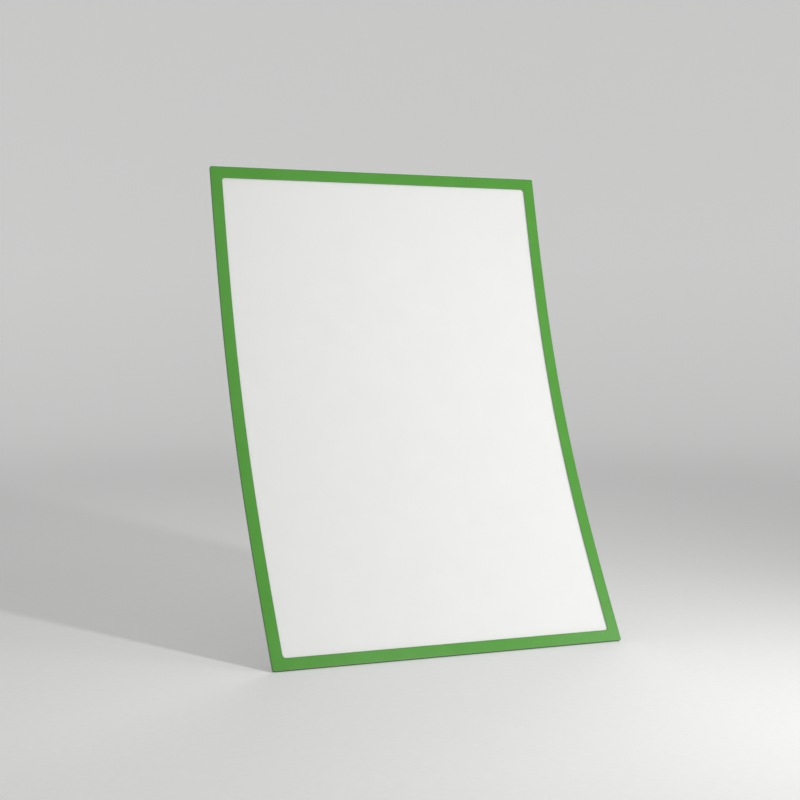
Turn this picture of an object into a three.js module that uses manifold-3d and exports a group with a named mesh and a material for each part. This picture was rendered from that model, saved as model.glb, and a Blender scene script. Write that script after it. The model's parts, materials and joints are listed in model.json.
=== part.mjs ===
// Magnetic display pocket for one portrait sheet of paper, with its flexible panels bent as they lean back.
// Millimetres, +Z up, +X to the viewer's right, -Y towards the viewer.
// The origin is the middle of the flat seat on the bottom rear magnet.
//
// Every layer is a thin sheet that follows one side profile. A place on it has three numbers:
// x across the pocket, s along the profile from the bottom edge, and its level, which is
// how far it lies in front of the back sheet's rear face.

import * as THREE from "three";
import Module from "manifold-3d";

// Displayed sheet of paper
const INSERT_WIDTH = 210;
const INSERT_HEIGHT = 297;
const INSERT_THICKNESS = 0.1;

// Thicknesses of the layers, from the back to the front
const REAR_MAGNET_THICKNESS = 0.4;
const BACK_SHEET_THICKNESS = 0.2;
const KEEPER_THICKNESS = 0.1;
const CLOSING_MAGNET_THICKNESS = 0.3;
const WINDOW_THICKNESS = 0.2;
const FRAME_THICKNESS = 0.1;
const HINGE_FILM_THICKNESS = 0.1;

// Adhesive between bonded layers, and the free play on each face of the paper
const ADHESIVE = 0.05;
const INSERT_CLEARANCE = 0.06;

// Closing strips around the paper: magnets on the front leaf, steel keepers on the back panel
const STRIP_WIDTH = 4;
const STRIP_INSET = 0.6;
const STRIP_GAP = 0.5;
const SIDE_PLAY = 0.4;
const END_PLAY = 1.9;

// How far the centre of the hinge film's fold stands above the top edges, so that the leaf swings clear of them
const FOLD_STANDOFF = 0.1;

// Magnets on the back, behind the coloured frame, which hold the pocket on steel
const REAR_MAGNET_WIDTH = 6;
const REAR_MAGNET_INSET = 0.6;
const REAR_MAGNET_GAP = 0.5;

// Coloured frame around the window
const INSERT_COVER = 2.1;
const OUTER_CORNER = 1.2;
const WINDOW_CORNER = 2;

// Bend of the panels in degrees: the mean lean, and how much more the bottom leans than the middle
const LEAN = 22.1;
const BEND = 8.9;

// Flat facets that the bend is made of, and steps around a rounded corner
const CURVED_FACETS = 20;
const END_FLAT_SPARE = 1;
const CORNER_STEPS = 5;
const FOLD_STEPS = 8;

// Overall sizes
const STRIP_REACH = STRIP_INSET + STRIP_WIDTH;
const BORDER = STRIP_REACH + SIDE_PLAY + INSERT_COVER;
const WIDTH = INSERT_WIDTH + 2 * (STRIP_REACH + SIDE_PLAY);
const HEIGHT = INSERT_HEIGHT + 2 * (STRIP_REACH + END_PLAY);
const HALF_WIDTH = WIDTH / 2;
const REAR_MAGNET_REACH = REAR_MAGNET_INSET + REAR_MAGNET_WIDTH;

// Levels of the layers
const BACK_SHEET_FRONT = BACK_SHEET_THICKNESS;
const KEEPER_REAR = BACK_SHEET_FRONT + ADHESIVE;
const KEEPER_FRONT = KEEPER_REAR + KEEPER_THICKNESS;
const INSERT_REAR = KEEPER_FRONT + INSERT_CLEARANCE;
const INSERT_FRONT = INSERT_REAR + INSERT_THICKNESS;
const CLOSING_MAGNET_REAR = INSERT_FRONT + INSERT_CLEARANCE;
const CLOSING_MAGNET_FRONT = CLOSING_MAGNET_REAR + CLOSING_MAGNET_THICKNESS;
const WINDOW_REAR = CLOSING_MAGNET_FRONT + ADHESIVE;
const WINDOW_FRONT = WINDOW_REAR + WINDOW_THICKNESS;
const FRAME_REAR = WINDOW_FRONT + ADHESIVE;
const FRAME_FRONT = FRAME_REAR + FRAME_THICKNESS;
const REAR_MAGNET_FRONT = -ADHESIVE;
const REAR_MAGNET_REAR = REAR_MAGNET_FRONT - REAR_MAGNET_THICKNESS;

// Finishes
const GREEN_VINYL = { color: 0x5aa044, roughness: 0.55, metalness: 0 };
const CLEAR_FILM = { color: 0xf2f4f3, roughness: 0.45, metalness: 0, transparent: true, opacity: 0.25 };
const BACK_FILM = { color: 0xeef0ee, roughness: 0.55, metalness: 0, transparent: true, opacity: 0.5 };
const HINGE_FILM = { color: 0xe6e8e6, roughness: 0.4, metalness: 0 };
const MAGNET_RUBBER = { color: 0x3a322d, roughness: 0.75, metalness: 0 };
const STEEL_STRIP = { color: 0xa9acae, roughness: 0.35, metalness: 1 };
const WHITE_PAPER = { color: 0xf6f6f3, roughness: 0.9, metalness: 0 };

const wasm = await Module();
wasm.setup();

// Side profile: flat facets along an elastic curve that is straight where both ends are free.
// The end facets are long enough for the rear magnets there to lie flat.
function leanAt(s) {
  return THREE.MathUtils.degToRad(LEAN + BEND * Math.cos((Math.PI * s) / HEIGHT));
}

function profileStations() {
  const endFlat = REAR_MAGNET_REACH + END_FLAT_SPARE;
  const step = (HEIGHT - 2 * endFlat) / CURVED_FACETS;
  const stations = [0];
  for (let i = 0; i <= CURVED_FACETS; i += 1) {
    stations.push(endFlat + i * step);
  }
  stations.push(HEIGHT);
  return stations;
}

const STATIONS = profileStations();
const FACET_LEANS = STATIONS.slice(1).map((end, i) => leanAt((STATIONS[i] + end) / 2));

function along(lean) {
  return new THREE.Vector3(0, Math.sin(lean), Math.cos(lean));
}

function outward(lean) {
  return new THREE.Vector3(0, -Math.cos(lean), Math.sin(lean));
}

// Corners of the profile, each with the mitred direction that keeps every layer's facets parallel
function profileCorners() {
  const corners = [];
  const place = new THREE.Vector3();
  STATIONS.forEach((s, i) => {
    const before = FACET_LEANS[Math.max(i - 1, 0)];
    const after = FACET_LEANS[Math.min(i, FACET_LEANS.length - 1)];
    const mitre = outward((before + after) / 2).divideScalar(Math.cos((before - after) / 2));
    corners.push({ place: place.clone(), mitre });
    if (i < FACET_LEANS.length) {
      place.addScaledVector(along(after), STATIONS[i + 1] - s);
    }
  });
  return corners;
}

const CORNERS = profileCorners();

function cornerAt(index, level) {
  return CORNERS[index].place.clone().addScaledVector(CORNERS[index].mitre, level);
}

function pointAt(x, s, level) {
  const last = STATIONS.length - 2;
  const facet = Math.min(STATIONS.findLastIndex((station) => station <= s), last);
  const share = (s - STATIONS[facet]) / (STATIONS[facet + 1] - STATIONS[facet]);
  return cornerAt(facet, level).lerp(cornerAt(facet + 1, level), share).setX(x);
}

// Steps around a rounded corner: how far each has come along the sheet, and how far in from its side it is
function cornerTurns(corner) {
  if (corner === 0) {
    return [{ advance: 0, inset: 0 }];
  }
  const turns = [];
  for (let i = 0; i <= CORNER_STEPS; i += 1) {
    const turn = ((Math.PI / 2) * i) / CORNER_STEPS;
    turns.push({ advance: corner * (1 - Math.cos(turn)), inset: corner * (1 - Math.sin(turn)) });
  }
  return turns;
}

// Sections of a sheet along the profile: where it bends, and around its rounded corners
function sheetSections(from, to, corner) {
  const turns = cornerTurns(corner);
  const bends = STATIONS.filter((s) => s > from + corner && s < to - corner);
  return [
    ...turns.map(({ advance, inset }) => ({ s: from + advance, inset })),
    ...bends.map((s) => ({ s, inset: 0 })),
    ...turns.reverse().map(({ advance, inset }) => ({ s: to - advance, inset })),
  ];
}

// One closed sheet between two levels, bent along the profile
function bentSheet({ from, to, left, right, rear, front, corner = 0 }) {
  const sections = sheetSections(from, to, corner);
  const positions = [];
  const index = [];
  sections.forEach(({ s, inset }, i) => {
    const ring = [
      pointAt(left + inset, s, rear),
      pointAt(right - inset, s, rear),
      pointAt(right - inset, s, front),
      pointAt(left + inset, s, front),
    ];
    ring.forEach((point) => positions.push(point.x, point.y, point.z));
    if (i === sections.length - 1) {
      return;
    }
    for (let k = 0; k < 4; k += 1) {
      const here = 4 * i + k;
      const beside = 4 * i + ((k + 1) % 4);
      index.push(here, here + 4, beside + 4);
      index.push(here, beside + 4, beside);
    }
  });
  const top = 4 * (sections.length - 1);
  index.push(0, 1, 2, 0, 2, 3);
  index.push(top, top + 2, top + 1, top, top + 3, top + 2);
  const geometry = new THREE.BufferGeometry();
  geometry.setAttribute("position", new THREE.Float32BufferAttribute(positions, 3));
  geometry.setIndex(index);
  return geometry;
}

function solidOf(geometry) {
  const vertProperties = new Float32Array(geometry.attributes.position.array);
  const triVerts = new Uint32Array(geometry.index.array);
  return new wasm.Manifold(new wasm.Mesh({ numProp: 3, vertProperties, triVerts }));
}

function cutAway(body, tool) {
  const mesh = solidOf(body).subtract(solidOf(tool)).getMesh();
  const geometry = new THREE.BufferGeometry();
  geometry.setAttribute("position", new THREE.BufferAttribute(mesh.vertProperties, 3));
  geometry.setIndex(new THREE.BufferAttribute(mesh.triVerts, 1));
  return geometry;
}

const pocket = new THREE.Group();

function addPiece(name, geometry, finish) {
  geometry.computeVertexNormals();
  const piece = new THREE.Mesh(geometry, new THREE.MeshStandardMaterial({ ...finish, flatShading: true }));
  piece.name = name;
  pocket.add(piece);
  return piece;
}

// Whole outline of the pocket, which the back sheet, the window film and the frame share
const OUTLINE = { from: 0, to: HEIGHT, left: -HALF_WIDTH, right: HALF_WIDTH, corner: OUTER_CORNER };

function addBackSheet() {
  addPiece("back_sheet", bentSheet({ ...OUTLINE, rear: 0, front: BACK_SHEET_FRONT }), BACK_FILM);
}

// Four strips of rubber magnet near the edges of the back: two across and two between them
function addRearMagnets() {
  const layer = { rear: REAR_MAGNET_REAR, front: REAR_MAGNET_FRONT };
  const outer = HALF_WIDTH - REAR_MAGNET_INSET;
  const inner = HALF_WIDTH - REAR_MAGNET_REACH;
  const across = { ...layer, left: -outer, right: outer };
  const upright = {
    ...layer,
    from: REAR_MAGNET_REACH + REAR_MAGNET_GAP,
    to: HEIGHT - REAR_MAGNET_REACH - REAR_MAGNET_GAP,
  };
  const strips = {
    bottom: { ...across, from: REAR_MAGNET_INSET, to: REAR_MAGNET_REACH },
    top: { ...across, from: HEIGHT - REAR_MAGNET_REACH, to: HEIGHT - REAR_MAGNET_INSET },
    left: { ...upright, left: -outer, right: -inner },
    right: { ...upright, left: inner, right: outer },
  };
  for (const [side, strip] of Object.entries(strips)) {
    addPiece(`rear_magnet_${side}`, bentSheet(strip), MAGNET_RUBBER);
  }
}

// Strips on three sides of the paper, whose top edge is left to the hinge
function addClosingStrips(name, layer, finish) {
  const outer = HALF_WIDTH - STRIP_INSET;
  const inner = HALF_WIDTH - STRIP_REACH;
  const upright = { ...layer, from: STRIP_REACH + STRIP_GAP, to: HEIGHT - STRIP_REACH - STRIP_GAP };
  const strips = {
    bottom: { ...layer, left: -outer, right: outer, from: STRIP_INSET, to: STRIP_REACH },
    left: { ...upright, left: -outer, right: -inner },
    right: { ...upright, left: inner, right: outer },
  };
  for (const [side, strip] of Object.entries(strips)) {
    addPiece(`${name}_${side}`, bentSheet(strip), finish);
  }
}

// Paper in the middle of the pocket, with its play all round
function addInsert() {
  const half = INSERT_WIDTH / 2;
  const from = STRIP_REACH + END_PLAY;
  const sheet = {
    from,
    to: from + INSERT_HEIGHT,
    left: -half,
    right: half,
    rear: INSERT_REAR,
    front: INSERT_FRONT,
  };
  addPiece("insert_sheet", bentSheet(sheet), WHITE_PAPER);
}

// Film folded into a U above the top edge: one flange on the back sheet, one on the window film
function addHingeFilm() {
  const outer = (WINDOW_REAR - BACK_SHEET_FRONT) / 2 - ADHESIVE;
  const inner = outer - HINGE_FILM_THICKNESS;
  const flange = STRIP_REACH + FOLD_STANDOFF;
  const quarter = Math.PI / 2;
  const fold = new THREE.Shape();
  fold.moveTo(-flange, -outer);
  fold.lineTo(0, -outer);
  fold.absarc(0, 0, outer, -quarter, quarter, false);
  fold.lineTo(-flange, outer);
  fold.lineTo(-flange, inner);
  fold.lineTo(0, inner);
  fold.absarc(0, 0, inner, quarter, -quarter, true);
  fold.lineTo(-flange, -inner);
  fold.closePath();
  const length = WIDTH - 2 * STRIP_INSET;
  const run = { depth: length, bevelEnabled: false, curveSegments: FOLD_STEPS };
  const film = addPiece("hinge_film", new THREE.ExtrudeGeometry(fold, run), HINGE_FILM);
  const lean = FACET_LEANS.at(-1);
  const across = new THREE.Vector3(1, 0, 0);
  const turn = new THREE.Matrix4().makeBasis(along(lean), outward(lean), across);
  const level = (BACK_SHEET_FRONT + WINDOW_REAR) / 2;
  film.position.copy(pointAt(-length / 2, HEIGHT + FOLD_STANDOFF, level));
  film.rotation.setFromRotationMatrix(turn);
}

function addWindowFilm() {
  addPiece("window_film", bentSheet({ ...OUTLINE, rear: WINDOW_REAR, front: WINDOW_FRONT }), CLEAR_FILM);
}

// Coloured ring on the front of the window film, cut out to the same border on every side
function addFrontFrame() {
  const blank = bentSheet({ ...OUTLINE, rear: FRAME_REAR, front: FRAME_FRONT });
  const opening = bentSheet({
    from: BORDER,
    to: HEIGHT - BORDER,
    left: BORDER - HALF_WIDTH,
    right: HALF_WIDTH - BORDER,
    rear: FRAME_REAR - FRAME_THICKNESS,
    front: FRAME_FRONT + FRAME_THICKNESS,
    corner: WINDOW_CORNER,
  });
  addPiece("front_frame", cutAway(blank, opening), GREEN_VINYL);
}

addBackSheet();
addRearMagnets();
addClosingStrips("keeper_strip", { rear: KEEPER_REAR, front: KEEPER_FRONT }, STEEL_STRIP);
addInsert();
addHingeFilm();
addWindowFilm();
addClosingStrips("closing_magnet", { rear: CLOSING_MAGNET_REAR, front: CLOSING_MAGNET_FRONT }, MAGNET_RUBBER);
addFrontFrame();

// The seat on the bottom rear magnet goes to the origin
pocket.position.copy(pointAt(0, REAR_MAGNET_INSET + REAR_MAGNET_WIDTH / 2, REAR_MAGNET_REAR)).negate();

export default pocket;
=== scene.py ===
# %% [markdown]
# A magnetic display pocket, layer by layer.
# The real object is a stack of thin sheets: strip magnets, a milky back film, steel keepers, a sheet of
# paper, more magnets, a clear window film and a green frame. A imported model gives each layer's place
# and size. This lesson replaces its flat facets with smooth sheets that follow the same bend, and gives
# every layer its finish.

# %% Load the frame
import json
import math

import bmesh
import bpy
import numpy as np
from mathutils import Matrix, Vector


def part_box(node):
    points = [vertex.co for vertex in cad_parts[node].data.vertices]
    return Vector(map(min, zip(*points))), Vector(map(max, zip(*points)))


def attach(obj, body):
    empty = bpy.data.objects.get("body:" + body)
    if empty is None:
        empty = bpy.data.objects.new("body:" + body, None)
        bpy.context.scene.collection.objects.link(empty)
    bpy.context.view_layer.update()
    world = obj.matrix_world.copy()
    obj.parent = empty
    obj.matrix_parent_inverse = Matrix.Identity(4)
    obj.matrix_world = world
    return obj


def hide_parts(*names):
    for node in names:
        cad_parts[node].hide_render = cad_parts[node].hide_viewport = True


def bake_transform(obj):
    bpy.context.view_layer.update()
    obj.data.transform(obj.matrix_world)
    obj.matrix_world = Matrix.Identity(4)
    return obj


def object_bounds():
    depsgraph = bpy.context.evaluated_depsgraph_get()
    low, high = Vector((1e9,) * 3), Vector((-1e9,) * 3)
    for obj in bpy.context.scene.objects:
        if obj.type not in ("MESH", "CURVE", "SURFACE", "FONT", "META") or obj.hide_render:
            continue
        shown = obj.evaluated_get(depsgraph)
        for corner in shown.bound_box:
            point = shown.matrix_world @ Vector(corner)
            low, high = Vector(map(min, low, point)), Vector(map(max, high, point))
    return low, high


MM = 0.001

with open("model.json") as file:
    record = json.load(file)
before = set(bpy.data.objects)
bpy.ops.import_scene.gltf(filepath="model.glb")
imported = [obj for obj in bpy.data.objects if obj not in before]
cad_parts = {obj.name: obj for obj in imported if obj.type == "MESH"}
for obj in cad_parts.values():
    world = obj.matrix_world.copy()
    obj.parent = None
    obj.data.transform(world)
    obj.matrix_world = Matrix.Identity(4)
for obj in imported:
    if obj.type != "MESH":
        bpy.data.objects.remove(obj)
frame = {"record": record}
cad_low, cad_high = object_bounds()
record = frame["record"]
BODY_OF = {node: body for body, nodes in record["behaviour"]["bodies"].items() for node in nodes}
print("CAD box in mm:", [round(v / MM, 1) for v in (*cad_low, *cad_high)])

# %% [markdown]
# The bend comes first, because every sheet shares it. A flexible sheet that stands on one edge and leans
# back curves most in its middle and is straight at its free ends, so its lean changes as a cosine along
# its length. The bend could be made with a Simple Deform modifier, but that only makes circular arcs.
# Here the lean is summed up along the sheet, which gives the true curve. It runs on straight for a
# millimetre past the top edge, where the hinge folds.

# %% Side profile of the bent pocket
HEIGHT = 310 * MM
LEAN = math.radians(22.1)
BEND = math.radians(8.9)
PAST_TOP = 1 * MM
PROFILE_STEPS = 1240


def lean_at(along):
    return LEAN + BEND * np.cos(np.pi * np.clip(along / HEIGHT, 0, 1))


def running_sum(slopes, step):
    return np.concatenate([[0], np.cumsum((slopes[1:] + slopes[:-1]) / 2 * step)])


track = np.linspace(0, HEIGHT + PAST_TOP, PROFILE_STEPS + 1)
track_lean = lean_at(track)
track_y = running_sum(np.sin(track_lean), track[1])
track_z = running_sum(np.cos(track_lean), track[1])
print("the curve rises", round(track_z[-1] / MM, 1), "mm and goes back", round(track_y[-1] / MM, 1), "mm")

# %% [markdown]
# A point of a sheet has three numbers: x across the pocket, along from its bottom edge, and its level,
# which is how far it lies in front of the back sheet's rear face. The frame's origin is the seat in the
# middle of the bottom rear magnet. A parent object could carry that shift, but then no piece would lie
# where its coordinates say, so every point is measured from the seat instead.

# %% Places on the bend
SEAT_ALONG = 3.6 * MM
SEAT_LEVEL = -0.45 * MM


def on_profile(x, along, level):
    """A point of the bent sheet, measured from the bottom edge of the back sheet's rear face."""
    lean = lean_at(along)
    y = np.interp(along, track, track_y) - level * math.cos(lean)
    z = np.interp(along, track, track_z) + level * math.sin(lean)
    return Vector((x, y, z))


seat = on_profile(0, SEAT_ALONG, SEAT_LEVEL)


def place(x, along, level):
    """The same point in the frame."""
    return on_profile(x, along, level) - seat


print("top edge in mm:", [round(v / MM, 2) for v in place(0, HEIGHT, 0)])

# %% [markdown]
# Each layer has its level from the gap behind it and its thickness. How far a sheet reaches along the
# bend could be written down again, but read from its CAD node it can't disagree with the frame. The
# lowest point of a node that leans back is on its rear face, and the highest is on its front face, so
# both can be looked up on the curve.

# %% Layers and their reach
GLUE = 0.05 * MM
PAPER_PLAY = 0.06 * MM
STACK = (
    ("back_sheet", 0, 0.2 * MM),
    ("keeper_strip", GLUE, 0.1 * MM),
    ("insert_sheet", PAPER_PLAY, 0.1 * MM),
    ("closing_magnet", PAPER_PLAY, 0.3 * MM),
    ("window_film", GLUE, 0.2 * MM),
    ("front_frame", GLUE, 0.1 * MM),
)
REAR_MAGNET_THICKNESS = 0.4 * MM

LEVELS = {"rear_magnet": (-GLUE - REAR_MAGNET_THICKNESS, -GLUE)}
level = 0
for layer, gap, thickness in STACK:
    LEVELS[layer] = (level + gap, level + gap + thickness)
    level += gap + thickness


def layer_of(node):
    return next(layer for layer in LEVELS if node.startswith(layer))


def along_where(height, level):
    """How far along the bend a level comes to a height."""
    heights = track_z + level * np.sin(track_lean) - seat.z
    return float(np.interp(height, heights, track))


def reach(node):
    """Left, right, bottom and top of a node on the flat sheet."""
    low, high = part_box(node)
    rear, front = LEVELS[layer_of(node)]
    return low.x, high.x, along_where(low.z, rear), along_where(high.z, front)


for node in ("back_sheet", "insert_sheet", "rear_magnet_left"):
    print(node, "reaches in mm:", [round(v / MM, 2) for v in reach(node)])

# %% [markdown]
# A die-cut sheet is flat, and its outline is a rectangle with rounded corners. It could be a plane with a
# Solidify modifier, but the corners, the window and the tiny edge radius are easier to control as a
# solid built in bmesh. A slab is the same outline at two levels, with faces between them.

# %% Flat solids
CORNER_STEPS = 10
SAMPLE_SIZE = 20 * MM
SAMPLE_CORNER = 1 * MM


def rounded_outline(left, right, bottom, top, radius):
    """Points of a rectangle with rounded corners, anticlockwise as seen from the front."""
    if radius == 0:
        return [(right, bottom), (right, top), (left, top), (left, bottom)]
    points = []
    centres = [(right - radius, bottom + radius), (right - radius, top - radius)]
    centres += [(left + radius, top - radius), (left + radius, bottom + radius)]
    for quarter, (x, along) in enumerate(centres):
        for step in range(CORNER_STEPS + 1):
            turn = (quarter - 1 + step / CORNER_STEPS) * math.pi / 2
            points.append((x + radius * math.cos(turn), along + radius * math.sin(turn)))
    return points


def slab(outline, levels, hole=None):
    """A flat closed solid between two levels. A hole has as many points as the outline."""
    solid = bmesh.new()
    rear, front = ([solid.verts.new((*point, level)) for point in outline] for level in levels)
    count = len(outline)
    after = [(i + 1) % count for i in range(count)]
    for i, j in enumerate(after):
        solid.faces.new((rear[i], rear[j], front[j], front[i]))
    if hole is None:
        solid.faces.new(front)
        solid.faces.new(reversed(rear))
        return solid
    hole_rear, hole_front = ([solid.verts.new((*point, level)) for point in hole] for level in levels)
    for i, j in enumerate(after):
        solid.faces.new((hole_rear[j], hole_rear[i], hole_front[i], hole_front[j]))
        solid.faces.new((front[i], front[j], hole_front[j], hole_front[i]))
        solid.faces.new((rear[j], rear[i], hole_rear[i], hole_rear[j]))
    return solid


square = rounded_outline(0, SAMPLE_SIZE, 0, SAMPLE_SIZE, SAMPLE_CORNER)
sample = slab(square, LEVELS["closing_magnet"])
print("a small sample sheet has", len(sample.faces), "faces")

# %% [markdown]
# The blade leaves crisp but not razor-sharp edges. A Bevel modifier could round them, but a narrow band
# along each edge is needed too. It keeps the shading of the wide faces flat, and it carries an edge value
# from 1 at the cut to 0, which the finishes use for wear, and for painted shade at the cut of the frame
# and the films. Then the solid is cut into short steps, so that it can follow the bend.

# %% Soft edges and short steps
SHARP = math.radians(50)
BEVEL_STEPS = 2
ROUND_PROFILE = 0.5
FLAT_WITHIN = math.radians(1)
EDGE_BAND = 0.45 * MM
EDGE_VALUE = "edge"
BEND_STEP = 4 * MM
SAME_PLACE = 1e-7
SAMPLE_RADIUS = 0.05 * MM


def soften_edges(solid, radius):
    """Bevels the sharp edges, insets a band beside them and marks the edge value."""
    sharp = [edge for edge in solid.edges if edge.calc_face_angle(0) > SHARP]
    bmesh.ops.bevel(
        solid,
        geom=sharp,
        offset=radius,
        offset_type="OFFSET",
        segments=BEVEL_STEPS,
        profile=ROUND_PROFILE,
        affect="EDGES",
    )
    solid.normal_update()
    edge_mark = solid.verts.layers.float.new(EDGE_VALUE)
    for vert in solid.verts:
        vert[edge_mark] = 1
    flats = [face for face in solid.faces if abs(face.normal.z) > math.cos(FLAT_WITHIN)]
    bmesh.ops.inset_region(solid, faces=flats, thickness=EDGE_BAND, use_even_offset=True)
    for vert in {vert for face in flats for vert in face.verts}:
        vert[edge_mark] = 0


def cut_into_steps(solid):
    """Cuts the solid across its length."""
    low = min(vert.co.y for vert in solid.verts)
    high = max(vert.co.y for vert in solid.verts)
    steps = max(1, round((high - low) / BEND_STEP))
    for i in range(1, steps):
        everything = [*solid.verts, *solid.edges, *solid.faces]
        at = (0, low + (high - low) * i / steps, 0)
        bmesh.ops.bisect_plane(solid, geom=everything, plane_co=at, plane_no=(0, 1, 0), dist=SAME_PLACE)


soften_edges(sample, SAMPLE_RADIUS)
cut_into_steps(sample)
print("with soft edges and short steps the sample has", len(sample.faces), "faces")
sample.free()

# %% [markdown]
# A finished solid becomes an object here. Its flat coordinates are kept as a UV map in metres, along the
# piece and across it, so that grain and brush marks run the right way on every strip. Unwrapping the bent
# mesh could give such a map, but the flat one is exact.

# %% Bend a solid into a piece
FLAT_MAP = "flat"


def add_object(name, data):
    thing = bpy.data.objects.new(name, data)
    bpy.context.scene.collection.objects.link(thing)
    return thing


def mesh_of(name, solid, finish):
    """The smooth mesh of a solid in its finish."""
    for face in solid.faces:
        face.smooth = True
    mesh = bpy.data.meshes.new(name)
    solid.to_mesh(mesh)
    solid.free()
    mesh.materials.append(finish)
    return mesh


def add_piece(name, node, solid, finish, across=False):
    """Bends a flat solid and makes it the piece that stands for a CAD node."""
    flat_map = solid.loops.layers.uv.new(FLAT_MAP)
    for face in solid.faces:
        for loop in face.loops:
            x, along, _ = loop.vert.co
            loop[flat_map].uv = (x, along) if across else (along, x)
    for vert in solid.verts:
        vert.co = place(*vert.co)
    piece = add_object(name, mesh_of(name, solid, finish))
    normals = piece.modifiers.new("even_shading", "WEIGHTED_NORMAL")
    normals.mode = "FACE_AREA"
    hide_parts(node)
    print(name, "has", len(piece.data.polygons), "faces")
    return piece


print("each piece keeps its flat coordinates in the map", FLAT_MAP)

# %% [markdown]
# Most pieces are plain sheets and strips, and each kind of sheet has its own edge radius: a thick rubber
# strip is rounder than paper. One radius for all would be simpler, but the thin sheets would lose their
# crisp edge.

# %% Sheets and strips
EDGE_RADIUS = {
    "rear_magnet": 0.08 * MM,
    "back_sheet": 0.04 * MM,
    "keeper_strip": 0.03 * MM,
    "insert_sheet": 0.02 * MM,
    "closing_magnet": 0.06 * MM,
    "window_film": 0.04 * MM,
    "front_frame": 0.03 * MM,
}


def add_layer(name, node, solid, finish, across=False):
    """Softens a flat solid, bends it and lets it ride on the body of its CAD node."""
    soften_edges(solid, EDGE_RADIUS[layer_of(node)])
    cut_into_steps(solid)
    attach(add_piece(name, node, solid, finish, across), BODY_OF[node])


def add_sheet(name, node, finish, corner=0, across=False):
    """A rectangular sheet or strip in place of a CAD node."""
    outline = rounded_outline(*reach(node), corner)
    add_layer(name, node, slab(outline, LEVELS[layer_of(node)]), finish, across)


print("edge radii in mm:", {layer: round(radius / MM, 2) for layer, radius in EDGE_RADIUS.items()})

# %% [markdown]
# Finishes are node trees, and shader maths reads best as plain arithmetic. Adding and linking each Math
# node by hand would work, but it hides the formula. A Wire holds one output socket and overloads the
# operators, with their reflected forms, so that 0.5 * cloud and 1 - far add their Math nodes themselves.

# %% Wires
class Wire:
    """An output socket that can stand in an arithmetic expression."""

    def __init__(self, finish, socket):
        self.finish = finish
        self.socket = socket

    def maths(self, operation, first, second):
        return self.finish.node("ShaderNodeMath", {"operation": operation}, {0: first, 1: second})

    def __add__(self, other):
        return self.maths("ADD", self, other)

    def __mul__(self, other):
        return self.maths("MULTIPLY", self, other)

    def __sub__(self, other):
        return self.maths("SUBTRACT", self, other)

    def __rsub__(self, other):
        return self.maths("SUBTRACT", other, self)

    __radd__ = __add__
    __rmul__ = __mul__


print("a wire can be added, multiplied and subtracted")

# %% [markdown]
# A Finish is a new material with a Principled shader, and one method adds any other node. It makes the
# settings first, because some of them change a node's sockets, and then gives the sockets their values
# or links. The shorter methods are calls of that one. Colours and vectors go through Mix and Vector Math
# nodes, because a Math node would turn a colour grey.

# %% Finishes
# The band along a film's cut that gets painted shade.
CUT_SHADE_STOPS = (0.4, 0), (0.9, 1)


class Finish:
    """A new material with a Principled shader."""

    def __init__(self, name, **constants):
        self.material = bpy.data.materials.new(name)
        self.material.use_nodes = True
        self.tree = self.material.node_tree
        self.shader = self.tree.nodes["Principled BSDF"]
        self.wear(**constants)

    def node(self, kind, settings=None, inputs=None, output=0):
        """Adds a node: its settings are set first, then its sockets get values or links."""
        made = self.tree.nodes.new(kind)
        for name, value in (settings or {}).items():
            if name == "stops":
                for stop, (position, level) in zip(made.color_ramp.elements, value):
                    stop.position = position
                    stop.color = (level, level, level, 1)
            else:
                setattr(made, name, value)
        for name, value in (inputs or {}).items():
            self.plug(made.inputs[name], value)
        return Wire(self, made.outputs[output])

    def plug(self, socket, value):
        if isinstance(value, Wire):
            self.tree.links.new(value.socket, socket)
        else:
            socket.default_value = value

    def wear(self, **sockets):
        """Sets or links the shader's own sockets, named with underscores for spaces."""
        for name, value in sockets.items():
            self.plug(self.shader.inputs[name.replace("_", " ")], value)

    def flat(self, stretch=(1, 1, 1)):
        """The piece's flat coordinates in metres, stretched along or across it."""
        where = self.node("ShaderNodeUVMap", {"uv_map": FLAT_MAP})
        return self.node("ShaderNodeVectorMath", {"operation": "MULTIPLY"}, {0: where, 1: stretch})

    def noise(self, where, scale, detail=2, roughness=0.5):
        sockets = {"Vector": where, "Scale": scale, "Detail": detail, "Roughness": roughness}
        return self.node("ShaderNodeTexNoise", None, sockets)

    def edge(self):
        """1 along the cut edges of a sheet, and 0 on its faces."""
        return self.node("ShaderNodeAttribute", {"attribute_name": EDGE_VALUE}, output="Fac")

    def shaded_cut(self):
        """1 on the cut and close beside it, 0 a few tenths of a millimetre in: the band of painted shade.
        """
        return self.ramp(self.edge(), CUT_SHADE_STOPS)

    def ramp(self, value, stops):
        return self.node("ShaderNodeValToRGB", {"stops": stops}, {"Fac": value})

    def tint(self, share, first, second):
        """A mix of two colours. Its sockets go by number, because a Mix node has several named A and B."""
        return self.node("ShaderNodeMix", {"data_type": "RGBA"}, {0: share, 6: first, 7: second}, output=2)

    def bump(self, height, distance, strength):
        sockets = {"Height": height, "Distance": distance, "Strength": strength}
        return self.node("ShaderNodeBump", None, sockets)


print("a sheet's cut edge fades between the edge values", CUT_SHADE_STOPS[0][0], "and", CUT_SHADE_STOPS[1][0])

# %% [markdown]
# Colours are read off a screen in values from 0 to 255, but a shader reckons in linear light. Blender's
# colour picker converts them unseen. In a script, the screen's standard curve is written out once.

# %% Screen colours
def linear(red, green, blue):
    """A colour given in the 0 to 255 values of a screen, as the shader wants it."""
    shares = (red / 255, green / 255, blue / 255)
    bent = [v / 12.92 if v <= 0.04045 else ((v + 0.055) / 1.055) ** 2.4 for v in shares]
    return (*bent, 1)


print("a screen value of 128 is", round(linear(128, 128, 128)[0], 3), "of full light")
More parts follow.
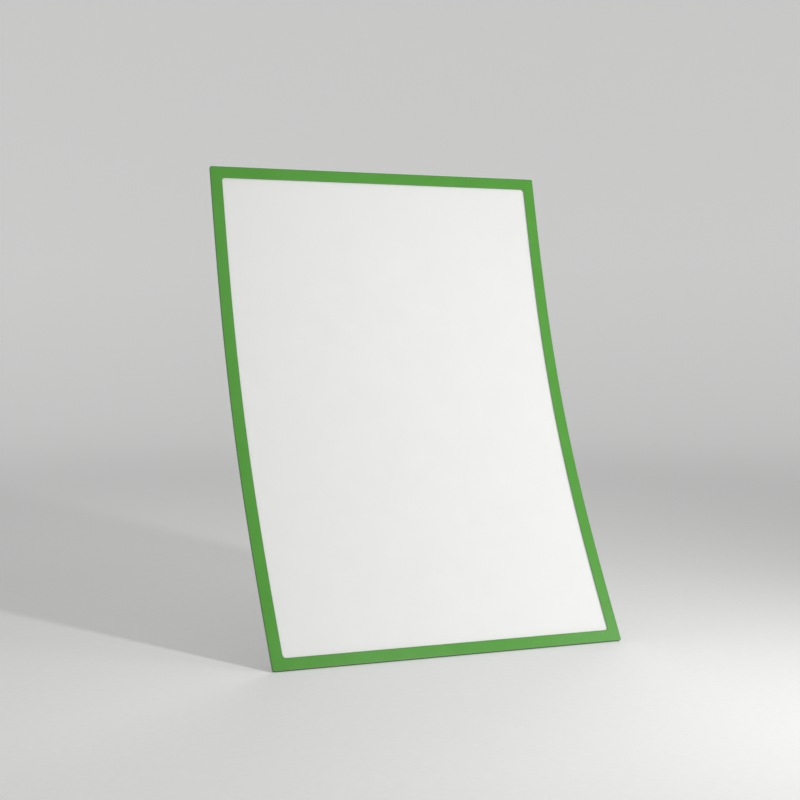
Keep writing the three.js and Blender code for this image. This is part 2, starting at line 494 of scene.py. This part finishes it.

# %% [markdown]
# The frame is green vinyl with a satin face. Real vinyl isn't one flat colour: it is a little cloudy, its
# face has a fine grain that softens highlights, and the die-cut edge is duller. The colour at the cut is
# darkened as well: painted shade, for an edge that lies in its own shadow. A picture of vinyl could be
# laid on, but it would blur from close by. Noise stays sharp at any distance, and the edge value marks the
# cut.

# %% Green vinyl
VINYL_SHADES = linear(82, 153, 58), linear(89, 160, 65)
VINYL_CUT_SHADE = linear(50, 102, 36)


def green_vinyl():
    finish = Finish("green_vinyl", Specular_IOR_Level=0.19)
    where = finish.flat()
    cloud = finish.noise(where, scale=70, detail=3)
    grain = finish.noise(where, scale=1900)
    cut = finish.edge()
    finish.wear(
        # At the cut the colour turns darker: painted shade. The higher roughness there is the duller cut.
        Base_Color=finish.tint(0.5 * cut, finish.tint(cloud, *VINYL_SHADES), VINYL_CUT_SHADE),
        Roughness=0.16 + 0.06 * cloud + 0.05 * grain + 0.45 * cut,
        Normal=finish.bump(grain, distance=0.02 * MM, strength=0.5),
    )
    return finish.material


GREEN_VINYL = green_vinyl()
print("made", GREEN_VINYL.name)

# %% [markdown]
# The window is a clear film with an anti-glare face: a microscopic roughness that scatters reflections, so
# that it shows as a faint white haze and never as a mirror. Glass would need refraction and would darken
# the paper. A thin film hardly bends light, so a low alpha over a rough pale surface does the same with
# much less noise. The cut edge of the film is painted dark and greenish and made opaque: painted shade,
# for a thin edge that lies in its own shadow.

# %% Clear anti-glare film
CLEAR_FACE = linear(244, 246, 245)
CUT_FILM_SHADE = linear(36, 47, 41)


def clear_film():
    finish = Finish("clear_film", Specular_IOR_Level=0.6)
    where = finish.flat()
    sparkle = finish.noise(where, scale=4200, detail=1)
    smear = finish.noise(where, scale=26, detail=3)
    cut = finish.shaded_cut()
    finish.wear(
        # The dark, opaque cut is painted shade.
        Base_Color=finish.tint(cut, CLEAR_FACE, CUT_FILM_SHADE),
        Alpha=0.09 + 0.05 * smear + 0.85 * cut,
        Roughness=0.36 + 0.14 * smear,
        Normal=finish.bump(sparkle, distance=0.006 * MM, strength=0.6),
    )
    return finish.material


CLEAR_FILM = clear_film()
print("made", CLEAR_FILM.name)

# %% [markdown]
# Paper is a felt of fibres. Seen close, they make fine streaks in every direction and a faint cloudiness.
# Two noises stretched along and across the sheet give the streaks, and a wide one gives the cloud.
# Subsurface scattering would let a little light through the sheet, but it costs time and hardly shows on
# paper this white.

# %% White paper
PAPER_SHADES = linear(236, 236, 233), linear(246, 246, 244)


def white_paper():
    finish = Finish("white_paper", Specular_IOR_Level=0.2, Roughness=0.92)
    lengthwise = finish.noise(finish.flat((1, 7, 1)), scale=900, detail=4)
    crosswise = finish.noise(finish.flat((7, 1, 1)), scale=900, detail=4)
    cloud = finish.noise(finish.flat(), scale=180, detail=3)
    fibres = 0.5 * lengthwise + 0.5 * crosswise
    finish.wear(
        Base_Color=finish.tint(0.6 * fibres + 0.4 * cloud, *PAPER_SHADES),
        Normal=finish.bump(fibres, distance=0.03 * MM, strength=0.5),
    )
    return finish.material


WHITE_PAPER = white_paper()
print("made", WHITE_PAPER.name)

# %% [markdown]
# The back is a clear film too, but embossed: a fine grain makes it milky, keeps it from sticking to the
# paper and hides fingerprints. Real relief could be cut into the mesh, but it is finer than anything that
# shows, so a bump does it. Voronoi cells give the grain, and a slow noise varies its haze a little.

# %% Milky back film
MILKY_FACE = linear(236, 239, 237)


def back_film():
    finish = Finish("back_film", Specular_IOR_Level=0.5)
    where = finish.flat()
    grain = finish.node("ShaderNodeTexVoronoi", {"feature": "SMOOTH_F1"}, {"Vector": where, "Scale": 1100})
    haze = finish.noise(where, scale=30, detail=4, roughness=0.6)
    cut = finish.shaded_cut()
    finish.wear(
        # The cut gets the same dark colour as the window film's: painted shade.
        Base_Color=finish.tint(cut, MILKY_FACE, CUT_FILM_SHADE),
        Alpha=0.4 + 0.1 * haze + 0.5 * cut,
        Roughness=0.42 + 0.16 * haze,
        Normal=finish.bump(grain, distance=0.03 * MM, strength=0.4),
    )
    return finish.material


BACK_FILM = back_film()
print("made", BACK_FILM.name)

# %% [markdown]
# Rubber magnet is ferrite powder rolled into a strip. The rollers leave faint lines along it, the powder
# shows as tiny grey specks, and the slit edges are paler than the face. One noise could stand for all of
# it, but separate ones keep each mark at its own size: the lines are drawn out along the strip, and a ramp
# picks the specks out of a fine noise.

# %% Magnet rubber
RUBBER_SHADES = linear(44, 38, 34), linear(62, 54, 48)
POWDER_GREY = linear(112, 104, 96)
SLIT_RUBBER = linear(78, 72, 66)
SPECK_STOPS = (0.62, 0), (0.74, 1)


def magnet_rubber():
    finish = Finish("magnet_rubber", Specular_IOR_Level=0.35)
    rolled = finish.noise(finish.flat((1, 45, 1)), scale=60, detail=4, roughness=0.6)
    powder = finish.noise(finish.flat(), scale=2600)
    specks = finish.ramp(powder, SPECK_STOPS)
    colour = finish.tint(0.35 * specks, finish.tint(rolled, *RUBBER_SHADES), POWDER_GREY)
    finish.wear(
        Base_Color=finish.tint(0.4 * finish.edge(), colour, SLIT_RUBBER),
        Roughness=0.52 + 0.2 * rolled,
        Normal=finish.bump(0.7 * rolled + 0.3 * powder, distance=0.04 * MM, strength=0.5),
    )
    return finish.material


MAGNET_RUBBER = magnet_rubber()
print("made", MAGNET_RUBBER.name)

# %% [markdown]
# The keepers are strips of thin tinned steel, on which rolling leaves long fine scratches. The shader's
# anisotropy could draw out the highlights in the same way, but it is often lost when a model is exported.
# So the colour, the roughness and a faint bump come from a noise that is drawn out along the strip.

# %% Tinned steel
STEEL_SHADES = linear(128, 131, 134), linear(162, 164, 166)


def tinned_steel():
    finish = Finish("tinned_steel", Metallic=1)
    brushed = finish.noise(finish.flat((1, 80, 1)), scale=70, detail=5, roughness=0.65)
    finish.wear(
        Base_Color=finish.tint(brushed, *STEEL_SHADES),
        Roughness=0.5 + 0.18 * brushed,
        Normal=finish.bump(brushed, distance=0.01 * MM, strength=0.4),
    )
    return finish.material


TINNED_STEEL = tinned_steel()
print("made", TINNED_STEEL.name)

# %% [markdown]
# The hinge is a milky polypropylene film, which goes whiter where it is folded. A translucent shader
# could let some light through, but the film is nearly hidden, so a satin surface is enough. On this piece
# the edge value marks the fold.

# %% Milky hinge film
HINGE_SHADES = linear(214, 218, 216), linear(226, 229, 227)
FOLD_WHITE = linear(246, 247, 246)


def milky_film():
    finish = Finish("milky_film", Specular_IOR_Level=0.5)
    drawn = finish.noise(finish.flat((40, 1, 1)), scale=90, detail=3)
    fold = finish.edge()
    finish.wear(
        Base_Color=finish.tint(0.8 * fold, finish.tint(drawn, *HINGE_SHADES), FOLD_WHITE),
        Roughness=0.3 + 0.15 * drawn + 0.15 * fold,
        Normal=finish.bump(drawn, distance=0.008 * MM, strength=0.4),
    )
    return finish.material


MILKY_FILM = milky_film()
print("made", MILKY_FILM.name)

# %% [markdown]
# The plain sheets are now one call each. The back sheet and the window film share the pocket's whole
# outline with its small corner radius, and the paper is cut square. One mesh could be scaled to all
# three, but that would scale its edges and corners as well.

# %% Back sheet, paper and window film
OUTER_CORNER = 1.2 * MM

add_sheet("back_cover", "back_sheet", BACK_FILM, OUTER_CORNER)
add_sheet("display_paper", "insert_sheet", WHITE_PAPER)
add_sheet("clear_window", "window_film", CLEAR_FILM, OUTER_CORNER)

# %% [markdown]
# The strips come in sets: four rubber magnets on the back, three steel keepers inside, and three rubber
# magnets that meet them. An Array modifier could repeat one strip, but each has its own length and its
# own CAD node, so a loop makes them one by one. The strips that run across the pocket turn their flat
# map, so that the rolled lines still run along them.

# %% Magnets and keepers
STRIP_CORNER = 0.3 * MM
STRIPS = {
    "rear_magnet": (MAGNET_RUBBER, ("bottom", "top", "left", "right")),
    "keeper_strip": (TINNED_STEEL, ("bottom", "left", "right")),
    "closing_magnet": (MAGNET_RUBBER, ("bottom", "left", "right")),
}

for layer, (finish, sides) in STRIPS.items():
    for side in sides:
        across = side in ("bottom", "top")
        add_sheet(f"{layer}_{side}_strip", f"{layer}_{side}", finish, STRIP_CORNER, across)

# %% [markdown]
# The green frame is one die-cut ring: the pocket's outline with the window cut out of it. A Boolean
# modifier could cut the window, but it leaves long thin triangles that bend badly. Here both outlines
# have the same number of points, so that plain quads join them. The window's corners are rounder than the
# outside ones, and the border has the same width all round.

# %% Green frame
BORDER = 7.1 * MM
WINDOW_CORNER = 2 * MM


def add_green_frame():
    left, right, bottom, top = reach("front_frame")
    outline = rounded_outline(left, right, bottom, top, OUTER_CORNER)
    inside = (left + BORDER, right - BORDER, bottom + BORDER, top - BORDER)
    window = rounded_outline(*inside, WINDOW_CORNER)
    add_layer("green_frame", "front_frame", slab(outline, LEVELS["front_frame"], window), GREEN_VINYL)


add_green_frame()

# %% [markdown]
# The hinge film is folded into a U just above the top edge, with one flange on the back sheet and one on
# the window film. A curve with a thickness could draw the U, but the edge value that marks the fold would
# have to be added afterwards. So each face of the film is a row of points that are marked as they are
# made, at both sides of the pocket, with quads between them.

# %% Fold of the hinge film
HINGE_THICKNESS = 0.1 * MM
FOLD_STANDOFF = 0.1 * MM
FOLD_STEPS = 14
FOLD = HEIGHT + FOLD_STANDOFF
HINGE_REAR = LEVELS["back_sheet"][1] + GLUE
HINGE_FRONT = LEVELS["window_film"][0] - GLUE


def hinge_section(radius, flange):
    """Points along one face of the film, from the rear flange round the fold to the front flange."""
    middle = (HINGE_REAR + HINGE_FRONT) / 2
    turns = [math.pi * (i / FOLD_STEPS - 0.5) for i in range(FOLD_STEPS + 1)]
    curve = [(FOLD + radius * math.cos(t), middle + radius * math.sin(t)) for t in turns]
    return [(flange, middle - radius), *curve, (flange, middle + radius)]


def hinge_solid():
    low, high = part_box("hinge_film")
    flange = along_where(low.z, HINGE_REAR)
    outer = (HINGE_FRONT - HINGE_REAR) / 2
    solid = bmesh.new()
    edge_mark = solid.verts.layers.float.new(EDGE_VALUE)

    def rail(radius, x):
        verts = [solid.verts.new((x, along, level)) for along, level in hinge_section(radius, flange)]
        for vert in verts[1:-1]:
            vert[edge_mark] = 1
        return verts

    ends = [(rail(outer, x), rail(outer - HINGE_THICKNESS, x)) for x in (low.x, high.x)]
    (outer_left, inner_left), (outer_right, inner_right) = ends
    for i in range(len(outer_left) - 1):
        j = i + 1
        solid.faces.new((outer_left[i], outer_right[i], outer_right[j], outer_left[j]))
        solid.faces.new((inner_left[j], inner_right[j], inner_right[i], inner_left[i]))
        solid.faces.new((outer_left[j], inner_left[j], inner_left[i], outer_left[i]))
        solid.faces.new((outer_right[i], inner_right[i], inner_right[j], outer_right[j]))
    for i in (0, -1):
        solid.faces.new((outer_left[i], inner_left[i], inner_right[i], outer_right[i]))
    bmesh.ops.recalc_face_normals(solid, faces=solid.faces[:])
    return solid


print("the fold's centre is", round(FOLD / MM, 2), "mm along the bend")

# %% [markdown]
# The hinge film is made in place, and its place is baked into its mesh. A rigid film would tear off one
# of its two panels when the leaf opens.

# %% Hinge film
def add_hinge_film():
    piece = add_piece("hinge_fold", "hinge_film", hinge_solid(), MILKY_FILM, across=True)
    start = place(0, FOLD, HINGE_REAR + HINGE_THICKNESS)
    end = place(0, FOLD, HINGE_FRONT - HINGE_THICKNESS)
    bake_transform(piece)


add_hinge_film()

# %% [markdown]
# The pocket stands on a plain pale floor that sweeps up into a backdrop, as in a photo studio. More light
# on the backdrop could make it bright enough, but would wash out the pocket too. So the floor's finish
# glows a little where it is seen, mirrored or looked at through a film, and more so far from the pocket.
# For all other rays the glow is off, so that it lights nothing.

# %% Pale floor
FLOOR_SHADES = linear(214, 214, 213), linear(220, 220, 219)
BLACK = (0, 0, 0, 1)
WHITE = (1, 1, 1, 1)
GLOW_START = 0.4
GLOW_END = 2.6
FLOOR_GLOW = 0.125
BACKDROP_GLOW = 0.335


def pale_floor():
    finish = Finish("pale_floor", Specular_IOR_Level=0.15, Roughness=0.85, Emission_Strength=1)
    where = finish.node("ShaderNodeTexCoord", output="Object")
    speck = finish.noise(where, scale=260, detail=3)
    away = finish.node("ShaderNodeVectorMath", {"operation": "LENGTH"}, {0: where}, output="Value")
    spread = {"Value": away, "From Min": GLOW_START, "From Max": GLOW_END}
    far = finish.node("ShaderNodeMapRange", None, spread)
    rays = ("Camera", "Glossy", "Transmission")
    seen, mirrored, passed = (finish.node("ShaderNodeLightPath", output=f"Is {ray} Ray") for ray in rays)
    glow = (FLOOR_GLOW * (1 - far) + BACKDROP_GLOW * far) * (seen + mirrored + passed)
    finish.wear(
        Base_Color=finish.tint(speck, *FLOOR_SHADES),
        Emission_Color=finish.tint(glow, BLACK, WHITE),
    )
    finish.material.cycles.emission_sampling = "NONE"
    return finish.material


PALE_FLOOR = pale_floor()
print("made", PALE_FLOOR.name)

# %% [markdown]
# A sweep has no corner, so no line crosses the picture. This one is turned round the pocket like a shallow
# bowl, which gives the same backdrop from every side. A Screw modifier could turn it, but a loop over the
# rings of its section leaves the floor as one flat face, with no pinched point in the middle.

# %% Floor and backdrop
FLOOR_RADIUS = 1.7
SWEEP_RADIUS = 1.2
BACKDROP_HEIGHT = 1.9
SWEEP_STEPS = 24
ROUND_STEPS = 96


def sweep_section():
    """Radius and height of the sweep from the floor's edge up to the backdrop's rim."""
    turns = [math.pi / 2 * i / SWEEP_STEPS for i in range(SWEEP_STEPS + 1)]
    curve = [(FLOOR_RADIUS + SWEEP_RADIUS * math.sin(t), SWEEP_RADIUS * (1 - math.cos(t))) for t in turns]
    return [*curve, (FLOOR_RADIUS + SWEEP_RADIUS, BACKDROP_HEIGHT)]


def add_sweep():
    centre = (cad_low + cad_high) / 2
    turns = [2 * math.pi * i / ROUND_STEPS for i in range(ROUND_STEPS)]
    sweep = bmesh.new()
    rings = []
    for radius, height in sweep_section():
        spots = [(centre.x + radius * math.cos(t), centre.y + radius * math.sin(t)) for t in turns]
        rings.append([sweep.verts.new((x, y, cad_low.z + height)) for x, y in spots])
    sweep.faces.new(rings[0])
    for inner, outer in zip(rings, rings[1:]):
        for i in range(ROUND_STEPS):
            j = (i + 1) % ROUND_STEPS
            sweep.faces.new((inner[i], outer[i], outer[j], inner[j]))
    stage = add_object("studio_sweep", mesh_of("studio_sweep", sweep, PALE_FLOOR))
    print("the sweep has", len(stage.data.polygons), "faces, its floor at", round(cad_low.z / MM, 2), "mm")


add_sweep()

# %% [markdown]
# The main light is a small spot in front of the pocket and to the right. A sun could cast the same shadow,
# back and to the left, but it would light the floor evenly, and the cone of a spot spares the floor under
# it. A weak lamp close by on the right brightens that side and puts a haze on the vinyl's lower corner,
# and a broad, soft spot behind fills the back.

# %% Lamps
FOOT = place(0, 0, 0)
POCKET_MIDDLE = FOOT + Vector((0, 0.06, 0.14))
KEY_PLACE = FOOT + Vector((0.268, -0.623, 0.475))
KEY_AIM = FOOT + Vector((-0.06, 0.05, 0.098))
KEY_CONE = math.radians(86)
KEY_RADIUS = 0.03
KEY_POWER = 13.5
SIDE_PLACE = FOOT + Vector((0.36, -0.31, 0.275))
SIDE_SIZE = 0.2
SIDE_POWER = 0.42
FILL_PLACE = FOOT + Vector((0.7, 1.6, 1.3))
FILL_CONE = math.radians(40)
FILL_RADIUS = 0.45
FILL_POWER = 42
FULL_BLEND = 1


def add_lamp(name, kind, stand, aim, power, **settings):
    lamp = bpy.data.lights.new(name, kind)
    lamp.energy = power
    for setting, value in settings.items():
        setattr(lamp, setting, value)
    thing = add_object(name, lamp)
    thing.location = stand
    thing.rotation_mode = "QUATERNION"
    thing.rotation_quaternion = (aim - stand).to_track_quat("-Z", "Y")
    thing.visible_camera = False


def cone(angle, radius):
    """Settings of a spot whose light fades from the middle of its cone to the rim."""
    return {"spot_size": angle, "spot_blend": FULL_BLEND, "shadow_soft_size": radius}


add_lamp("key_lamp", "SPOT", KEY_PLACE, KEY_AIM, KEY_POWER, **cone(KEY_CONE, KEY_RADIUS))
add_lamp("side_lamp", "AREA", SIDE_PLACE, POCKET_MIDDLE, SIDE_POWER, shape="DISK", size=SIDE_SIZE)
add_lamp("fill_lamp", "SPOT", FILL_PLACE, POCKET_MIDDLE, FILL_POWER, **cone(FILL_CONE, FILL_RADIUS))
print("key lamp stands", round((KEY_PLACE - POCKET_MIDDLE).length, 2), "m from the pocket")

# %% [markdown]
# An even white sky fills the rest, as the walls of a studio do. A picture of a studio could light the
# pocket too, but the vinyl would mirror it. The Standard view shows each colour about as it is written.

# %% Sky and view
SKY = 0.455

world = bpy.data.worlds.new("studio")
world.use_nodes = True
sky = world.node_tree.nodes["Background"]
sky.inputs["Color"].default_value = WHITE
sky.inputs["Strength"].default_value = SKY
bpy.context.scene.world = world
bpy.context.scene.view_settings.view_transform = "Standard"
print("the sky has a strength of", SKY)

# %% [markdown]
# The camera stands low, to the left of the pocket, and looks slightly down. It could be placed by eye, but
# the pocket's corners and its bend show small errors. So its place and lens were worked out from the
# photograph's outline of the pocket.

# %% Camera
CAMERA_PLACE = FOOT + Vector((-0.3786, -0.8007, 0.1864))
CAMERA_YAW = math.radians(23.276)
CAMERA_PITCH = math.radians(2.559)
CAMERA_LENS = 70.07
SENSOR_WIDTH = 36

camera = bpy.data.cameras.new("camera")
camera.lens = CAMERA_LENS
camera.sensor_width = SENSOR_WIDTH
viewpoint = add_object("camera", camera)
viewpoint.location = CAMERA_PLACE
viewpoint.rotation_euler = (math.pi / 2 - CAMERA_PITCH, 0, -CAMERA_YAW)
bpy.context.scene.camera = viewpoint
print("camera stands", round((CAMERA_PLACE - POCKET_MIDDLE).length, 2), "m from the pocket")
